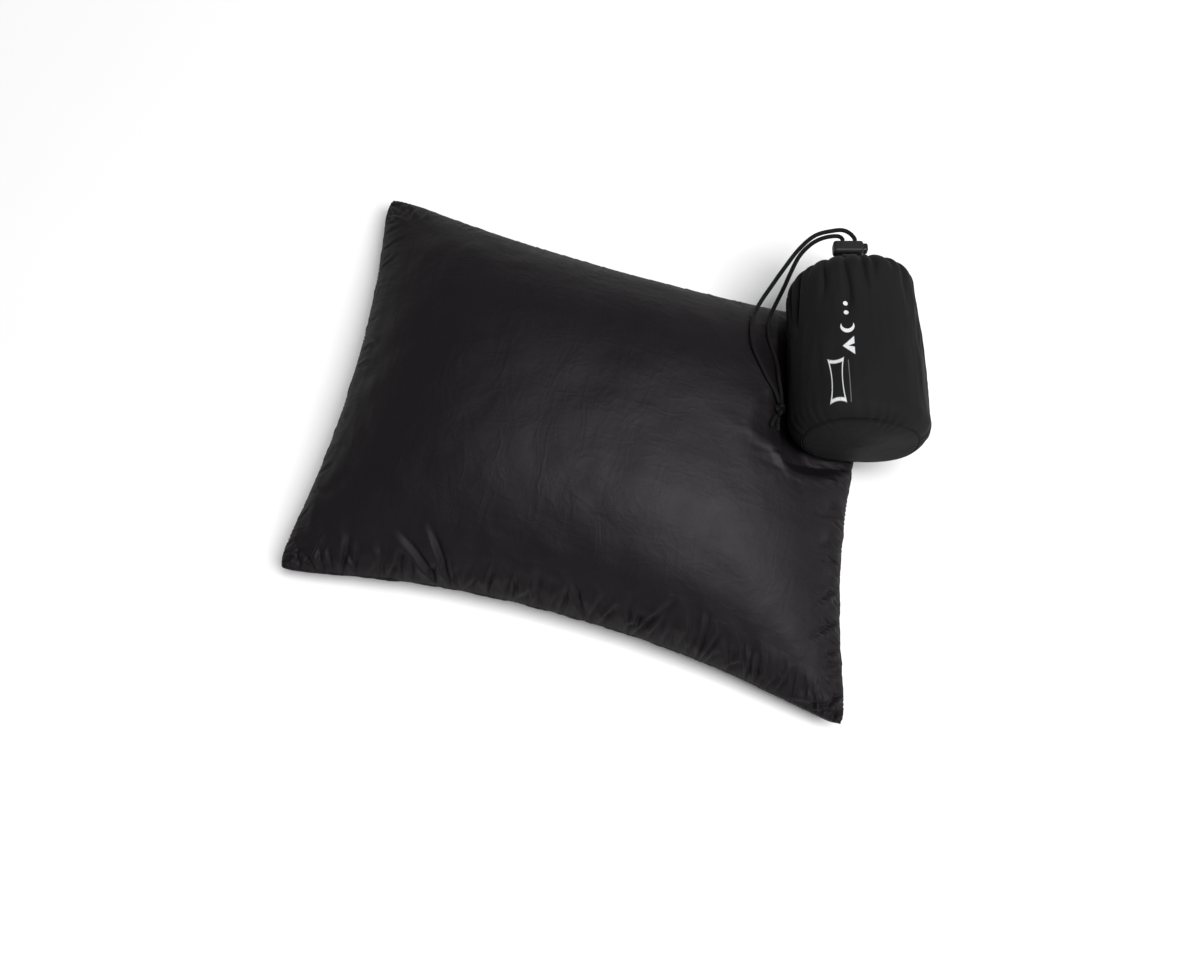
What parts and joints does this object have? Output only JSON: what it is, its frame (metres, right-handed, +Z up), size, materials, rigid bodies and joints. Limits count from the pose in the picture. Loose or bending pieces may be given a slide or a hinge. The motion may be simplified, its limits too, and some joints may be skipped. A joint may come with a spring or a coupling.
{
  "type": "camp pillow",
  "caption": "Rectangular fibre-filled camping pillow lying flat, with its cinched, stuffed drawcord sack resting across one corner.",
  "frame": {"origin": "middle of the pillow's flat underside, where it lies on the ground", "axes": "+X along the pillow's long side towards the stuff sack, +Y across it towards the edge that the sack's neck hangs over, +Z up"},
  "size_m": [0.3859, 0.307, 0.1106],
  "materials": {
    "shell_nylon": "satin, downproof nylon taffeta",
    "seam_thread": "matte turned seam edge",
    "fibre_fill": "matte polyester fibre",
    "sack_nylon": "semi-matte nylon",
    "cord_braid": "matte round braid",
    "lock_plastic": "satin moulded",
    "spring_steel": "bright wire"
  },
  "bodies": {
    "pillow": {"shell_top_panel": "shell_nylon", "shell_bottom_panel": "shell_nylon", "fill_core": "fibre_fill", "edge_seam": "seam_thread"},
    "stuff_sack": {"sack_wall": "sack_nylon", "sack_base": "sack_nylon", "packed_pillow": "shell_nylon", "sack_hem": "sack_nylon", "drawcord_loop": "cord_braid", "drawcord_strand_left": "cord_braid", "drawcord_strand_right": "cord_braid", "drawcord_knot": "cord_braid", "drawcord_tail_left": "cord_braid", "drawcord_tail_right": "cord_braid"},
    "cord_lock": {"lock_barrel": "lock_plastic"},
    "lock_button": {"lock_plunger": "lock_plastic", "lock_spring": "spring_steel"}
  },
  "joints": [
    {"name": "sack_lift", "type": "slide", "parent": "pillow", "child": "stuff_sack", "axis": [0, 0, 1], "range_m": [0, 0.15]},
    {"name": "lock_slide", "type": "slide", "parent": "stuff_sack", "child": "cord_lock", "axis": [-0.2498, 0.9658, -0.0698], "range_m": [0, 0.0025]},
    {"name": "lock_press", "type": "slide", "parent": "cord_lock", "child": "lock_button", "axis": [-0.9681, -0.2504, 0], "range_m": [0, 0.0025], "stiffness_N_per_m": 800, "springref_m": -0.002, "deforming": ["lock_spring"]}
  ]
}
